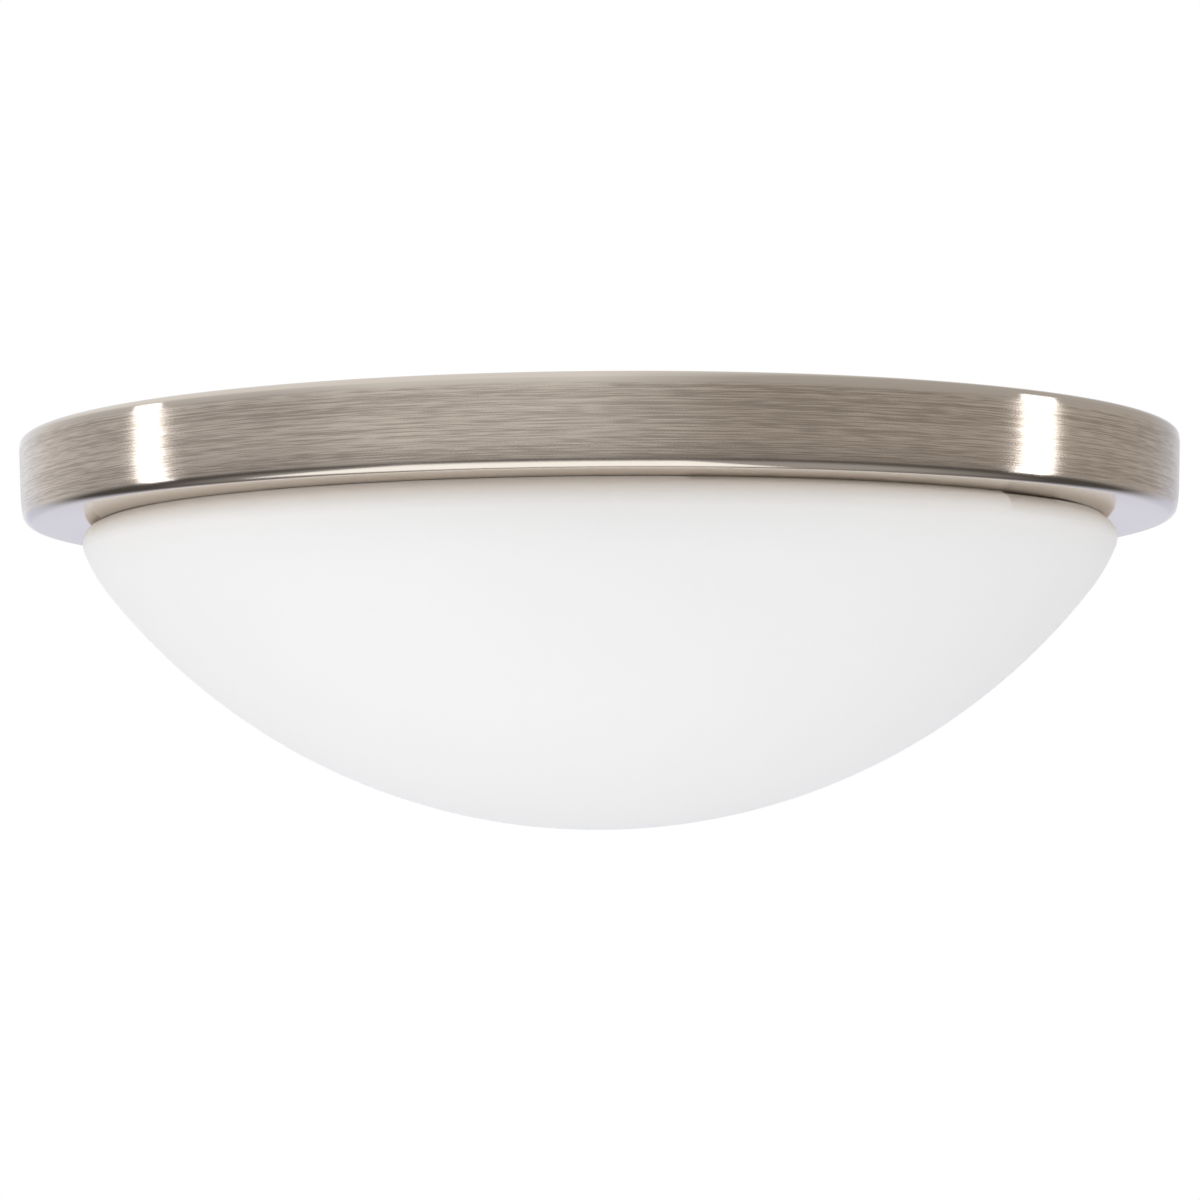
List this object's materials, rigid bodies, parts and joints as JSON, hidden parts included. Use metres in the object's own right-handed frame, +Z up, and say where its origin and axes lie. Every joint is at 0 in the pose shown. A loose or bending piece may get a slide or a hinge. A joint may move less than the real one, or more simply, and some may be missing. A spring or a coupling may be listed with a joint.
{
  "type": "flush mount ceiling light",
  "caption": "Round flush mount ceiling light: brushed metal trim ring, opal glass bowl that drops and twists to lock, pan, crossbar, LED board and driver inside.",
  "frame": {"origin": "centre of the light on the ceiling plane, at the middle of the two outlet box slots", "axes": "+Z up into the ceiling, along the glass's axis; +X along the crossbar; -Y is the front; the light hangs down to -Z"},
  "size_m": [0.3298, 0.3298, 0.1102],
  "materials": {
    "ring_metal": "satin",
    "pan_paint": "satin",
    "zinc_steel": "satin",
    "screw_steel": "satin",
    "ground_green": "satin",
    "terminal_brass": "satin",
    "bushing_nylon": "matte",
    "block_nylon": "matte",
    "driver_plastic": "matte",
    "board_green": "satin",
    "post_zinc": "satin",
    "tray_paint": "satin",
    "thumb_nickel": "satin",
    "board_white": "satin",
    "chip_yellow": "matte",
    "connector_white": "matte",
    "lead_black": "satin",
    "lead_white": "satin",
    "lead_green": "satin",
    "lead_red": "satin",
    "clip_steel": "satin",
    "gasket_foam": "matte",
    "opal_glass": "satin"
  },
  "bodies": {
    "fixture": {"trim_ring": "ring_metal", "back_pan": "pan_paint", "crossbar": "zinc_steel", "fixture_screws": "screw_steel", "ground_screw": "ground_green", "ground_ring_terminal": "terminal_brass", "wire_bushing": "bushing_nylon", "terminal_block": "block_nylon", "clamp_screws": "screw_steel", "terminal_fixing_screw": "screw_steel", "driver_case": "driver_plastic", "driver_lid": "driver_plastic", "driver_board": "board_green", "driver_screws": "screw_steel", "tray_posts": "post_zinc", "gear_tray": "tray_paint", "thumb_screws": "thumb_nickel", "led_board": "board_white", "led_chips": "chip_yellow", "board_screws": "screw_steel", "board_connector": "connector_white", "live_lead": "lead_black", "neutral_lead": "lead_white", "ground_lead": "lead_green", "led_plus_lead": "lead_red", "led_minus_lead": "lead_black", "glass_clips": "clip_steel"},
    "gasket": {"glass_gasket": "gasket_foam"},
    "glass": {"glass_dome": "opal_glass"}
  },
  "joints": [
    {"name": "glass_drop", "type": "slide", "parent": "fixture", "child": "gasket", "axis": [0, 0, -1], "range_m": [0, 0.12]},
    {"name": "glass_twist", "type": "hinge", "parent": "gasket", "child": "glass", "pos_m": [0, 0, -0.02], "axis": [0, 0, 1], "range_deg": [0, 30]}
  ]
}
